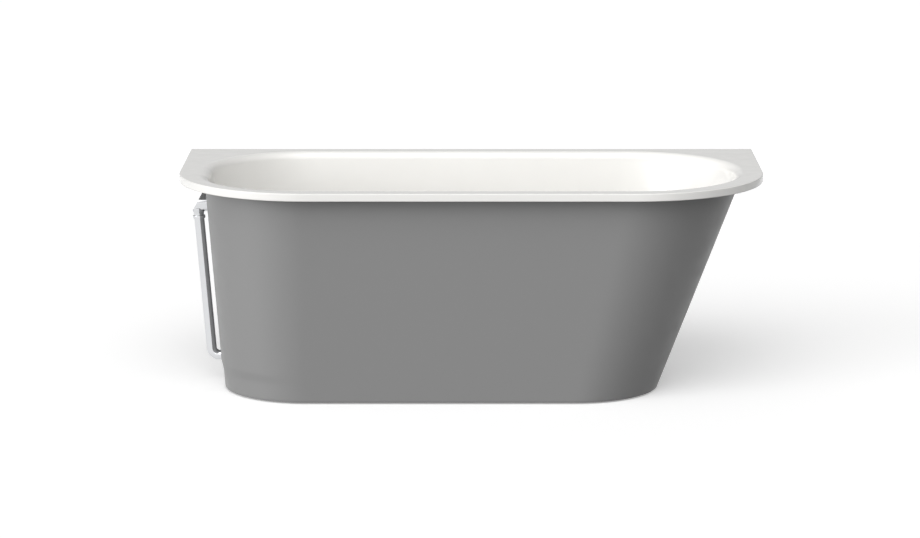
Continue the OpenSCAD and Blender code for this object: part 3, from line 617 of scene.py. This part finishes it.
raw_brass = surface(
    "raw_brass", ("B8924A", "CDAA60"), (0.24, 0.38), 30, 500, 0.0001, (1, 1, 8), Metallic=1.0
)
black_rubber = surface("black_rubber", ("191919", "222221"), (0.62, 0.78), 60, 900, 0.0001)
nut_plastic = surface("grey_nut_plastic", ("45474A", "4F5153"), (0.38, 0.5), 40, 1200, 0.00008)
trap_plastic = surface("white_trap_plastic", ("E6E6E2", "EFEFEC"), (0.22, 0.34), 12, 700, 0.00006)
plywood = surface(
    "sealed_plywood", ("9C7747", "BE9866"), (0.5, 0.66), 9, 260, 0.0003, (0.12, 1, 6)
)
zinc = surface("bright_zinc", ("A6ABAF", "C3C7C9"), (0.26, 0.42), 55, 800, 0.00008, Metallic=1.0)
foot_nylon = surface("foot_nylon", ("26282A", "303234"), (0.42, 0.56), 50, 1400, 0.00008)


def finish_piece(o, body, slot, m, *replaced):
    """Gives a piece its material and its body, and hides the CAD nodes it stands for. The slot is
    not used.
    """
    o.data.materials.clear()
    o.data.materials.append(m)
    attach(o, body)
    if replaced:
        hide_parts(*replaced)


finish_piece(make_basin(), "bath", "cast_basin", basin_white, "basin")
finish_piece(make_skin(), "bath", "painted_skin", skin_paint, "outer_skin")
PIPE_NODES = ("overflow_pipe", "overflow_bend", "overflow_run")
finish_piece(make_overflow_pipe(), "bath", "chromed_brass", chrome, *PIPE_NODES)
finish_piece(make_elbow(), "bath", "chromed_brass", chrome, "overflow_elbow")
finish_piece(make_collar(), "bath", "chromed_brass", chrome, "overflow_collar")
finish_piece(make_cover(), "bath", "chromed_brass", chrome, "overflow_cover")
finish_piece(make_waste(), "bath", "chromed_brass", chrome, "waste_flange")
finish_piece(make_plug(), "plug", "chromed_brass", chrome, "plug_cap")

# What repeats: threads on the feet's studs and grip ribs on the trap's nuts


def repeater():
    """Copies a piece count times, each a step further on and a turn further round."""
    g = bpy.data.node_groups.new("repeater", "GeometryNodeTree")
    add = g.interface.new_socket
    add("Geometry", in_out="INPUT", socket_type="NodeSocketGeometry")
    kinds = {"Count": "Int", "Step": "Vector", "Turn": "Float", "Material": "Material"}
    for label, kind in kinds.items():
        add(label, in_out="INPUT", socket_type="NodeSocket" + kind)
    add("Geometry", in_out="OUTPUT", socket_type="NodeSocketGeometry")

    def put(kind, links=(), **settings):
        n = g.nodes.new(kind)
        for key, value in settings.items():
            setattr(n, key, value)
        for key, value in dict(links).items():
            g.links.new(value, n.inputs[key])
        return n.outputs

    start = put("NodeGroupInput")
    line = put("GeometryNodeMeshLine", {"Count": start["Count"], "Offset": start["Step"]})
    index = put("GeometryNodeInputIndex")
    angle = put("ShaderNodeMath", {0: index[0], 1: start["Turn"]}, operation="MULTIPLY")
    turn = put("ShaderNodeCombineXYZ", {"Z": angle[0]})
    placed = {"Points": line[0], "Instance": start["Geometry"], "Rotation": turn[0]}
    copies = put("GeometryNodeInstanceOnPoints", placed)
    real = put("GeometryNodeRealizeInstances", {"Geometry": copies[0]})
    finish = put("GeometryNodeSetMaterial", {"Geometry": real[0], "Material": start["Material"]})
    put("NodeGroupOutput", {"Geometry": finish[0]})
    return g


REPEATER = repeater()


def repeat(o, count, step, turn, m):
    modifier = o.modifiers.new("repeat", "NODES")
    modifier.node_group = REPEATER
    values = {"Count": count, "Step": step, "Turn": turn, "Material": m}
    for item in REPEATER.interface.items_tree:
        if item.in_out == "INPUT" and item.name in values:
            modifier[item.identifier] = values[item.name]
    return apply_modifiers(o)


def bar(r, low, high, chamfer, inner, drop):
    """The closed profile of a bar with chamfered ends: the chamfer goes in at the ends and the
    drop along the axis."""
    return [
        (inner, low), (r - chamfer, low), (r, low + drop),
        (r, high - drop), (r - chamfer, high), (inner, high),
    ]


def make_stud(corner, x, y):
    """A stud with its thread's crests and the hexagon that turns it."""
    core, crest, pitch, foot, top = 0.0051, 0.006, 0.00175, 0.0053, 0.1244
    hex_low, hex_high, hex_r = 0.020, 0.028, 0.011
    root = core - 0.0004
    thread = (
        (root, -0.0008), (crest - 0.0002, -0.0001), (crest, 0.0),
        (crest - 0.0002, 0.0001), (root, 0.0008),
    )
    bm = bmesh.new()
    add_lathe(bm, thread, steps=48)
    o = new_piece("stud_thread_" + corner, bm, 60)
    o.data.transform(Matrix.Translation((x, y, foot + 0.0015)))
    repeat(o, int((top - foot - 0.003) / pitch) + 1, (0, 0, pitch), 0.0, zinc)

    bm = bmesh.new()
    bm.from_mesh(o.data)
    place = Matrix.Translation((x, y, 0))
    add_lathe(bm, bar(core, foot, top, 0.0006, NEAR_AXIS, 0.0006), place, 48)
    add_lathe(bm, bar(hex_r, hex_low, hex_high, 0.0008, 0.004, 0.0006), place, 6)
    bmesh.ops.recalc_face_normals(bm, faces=bm.faces)
    bm.to_mesh(o.data)
    bm.free()
    smooth(o.data)
    finish_piece(o, "stud_" + corner, "zinc_plated_steel", zinc, "foot_stud_" + corner)


def make_grips(name, place, r, low, high, count):
    """Rounded ribs round a nut, for a hand's grip."""
    half_width, rise, sink = 0.0011, 0.0011, 0.0012
    # Across a rib: sideways and up, as shares of its half width and height
    section = ((-1.25, 0), (-0.9, 0.75), (-0.3, 1.0), (0.3, 1.0), (0.9, 0.75), (1.25, 0))
    # Along a rib: where, and its share of the full height
    stations = (
        (low + 0.0008, 0.45), (low + 0.002, 1.0), (high - 0.002, 1.0), (high - 0.0008, 0.45),
    )
    rings, foot, height = [], r - sink, rise + sink
    for z, k in stations:
        rings.append([Vector((foot + height * k * h, half_width * w, z)) for w, h in section])
    bm = bmesh.new()
    add_loft(bm, rings, caps=True)
    o = new_piece(name, bm, 50)
    repeat(o, count, (0, 0, 0), 2 * pi / count, nut_plastic)
    o.data.transform(place)
    finish_piece(o, "bath", "grey_nut_plastic", nut_plastic)


for side, stud_x in STUD_X.items():
    for depth, stud_y in STUD_Y.items():
        make_stud(depth + "_" + side, stud_x, stud_y)

AT_UNION = Matrix.Translation((WASTE_X, 0, RUN_Z)) @ ALONG_X
AT_OUTLET = Matrix.Translation((WASTE_X, 0, 0.066)) @ ALONG_Y
make_grips("inlet_nut_grips", AT_WASTE, r=0.0345, low=0.100, high=0.122, count=12)
make_grips("union_nut_grips", AT_UNION, r=0.022, low=-0.092, high=-0.072, count=18)
make_grips("outlet_nut_grips", AT_OUTLET, r=0.0285, low=0.090, high=0.112, count=20)

# Materials of the CAD pieces that stay

LOOKS = (
    (raw_brass, ("plug_sleeve", "bend_ferrules")),
    (chrome, ("overflow_screw",)),
    (black_rubber, ("overflow_wall_seal", "overflow_inner_seal", "skin_grommet", "waste_seal_top",
                    "waste_seal_under", "plug_seal", "trap_bowl_ring", "trap_inlet_seal",
                    "overflow_union_ring", "outlet_ring")),
    (nut_plastic, ("waste_back_nut", "trap_inlet_nut", "overflow_union_nut", "outlet_nut")),
    (trap_plastic, ("trap_body", "trap_bowl", "outlet_pipe")),
    (plywood, ("base_board",)),
    (zinc, ("cross_rail_left", "cross_rail_right", "skin_angles", "wall_bracket_left",
            "wall_bracket_right", "stud_bushes", "lock_nuts", "board_screws", "skin_angle_screws",
            "rim_screws")),
    (foot_nylon, ("foot_pad_front_left", "foot_pad_front_right", "foot_pad_back_left",
                  "foot_pad_back_right")),
)
for look, names in LOOKS:
    for name in names:
        if not cad[name].material_slots:
            cad[name].data.materials.append(look)
        for each in cad[name].material_slots:
            each.material = look

# Studio

FLOOR_HALF = 40
floor_mesh = bpy.data.meshes.new("floor")
signs = ((-1, -1), (1, -1), (1, 1), (-1, 1))
floor_mesh.from_pydata([(x * FLOOR_HALF, y * FLOOR_HALF, 0) for x, y in signs], [], [(0, 1, 2, 3)])
floor = add_object("floor", floor_mesh)
# A little light of its own lifts the floor to the backdrop's white
floor_white, s = material(
    "floor_white", "F2F2F2", 0.9, Emission_Color=(1, 1, 1, 1), Emission_Strength=0.3
)
floor_mesh.materials.append(floor_white)
floor.visible_diffuse = False

# Soft lobes of light by direction: axis, narrowness, strength
LOBES = (
    ((-1, -0.5, 0.06), 20, 5.5),
    ((0.24, -1, 0.12), 60, 1.6),
    ((-1, 0, 0.1), 16, 0.6),
    ((-1, -0.1, 0.25), 4, 1.0),
    ((-1, -1, 0.3), 8, 1.5),
    ((0, -1, 0.3), 8, 0.22),
    ((0, -0.5, 1), 16, 0.98),
    ((0, -1, 1), 8, 2.04),
    ((0, 1, 0.3), 8, 0.45),
    ((1, 0, 1), 8, 0.15),
)
# Even light from the sky, which fades out round the horizon
SKY = 0.21
HORIZON = (-0.12, 0.12)
# A dark flag high on the left, which dims the skin's left corner and the rim a little
FLAG_AXIS, FLAG_NARROW, FLAG_FADE = (-0.84, 0, 0.54), 14, (0.2, 0.6)

world = bpy.data.worlds.new("studio")
bpy.context.scene.world = world
world.use_nodes = True


def sky_math(operation, *values):
    return node(world, "ShaderNodeMath", dict(enumerate(values)), operation=operation).outputs[0]


def towards(at, axis, narrow):
    """How closely a direction follows an axis, from 0 to 1."""
    inputs = {0: at, 1: Vector(axis).normalized()}
    dot = node(world, "ShaderNodeVectorMath", inputs, operation="DOT_PRODUCT").outputs["Value"]
    return sky_math("POWER", sky_math("MAXIMUM", dot, 0.0), narrow)


def light_sky():
    at = node(world, "ShaderNodeTexCoord").outputs["Generated"]
    height = node(world, "ShaderNodeSeparateXYZ", {"Vector": at}).outputs[2]
    total = map_range(world, height, HORIZON, (0.0, SKY))
    for axis, narrow, strength in LOBES:
        total = sky_math("MULTIPLY_ADD", towards(at, axis, narrow), strength, total)
    shade = map_range(world, towards(at, FLAG_AXIS, FLAG_NARROW), FLAG_FADE, (1.0, 0.0))
    background = world.node_tree.nodes["Background"]
    background.inputs[0].default_value = (1, 1, 1, 1)
    world.node_tree.links.new(sky_math("MULTIPLY", total, shade), background.inputs[1])


light_sky()

bpy.context.scene.view_settings.view_transform = "Standard"
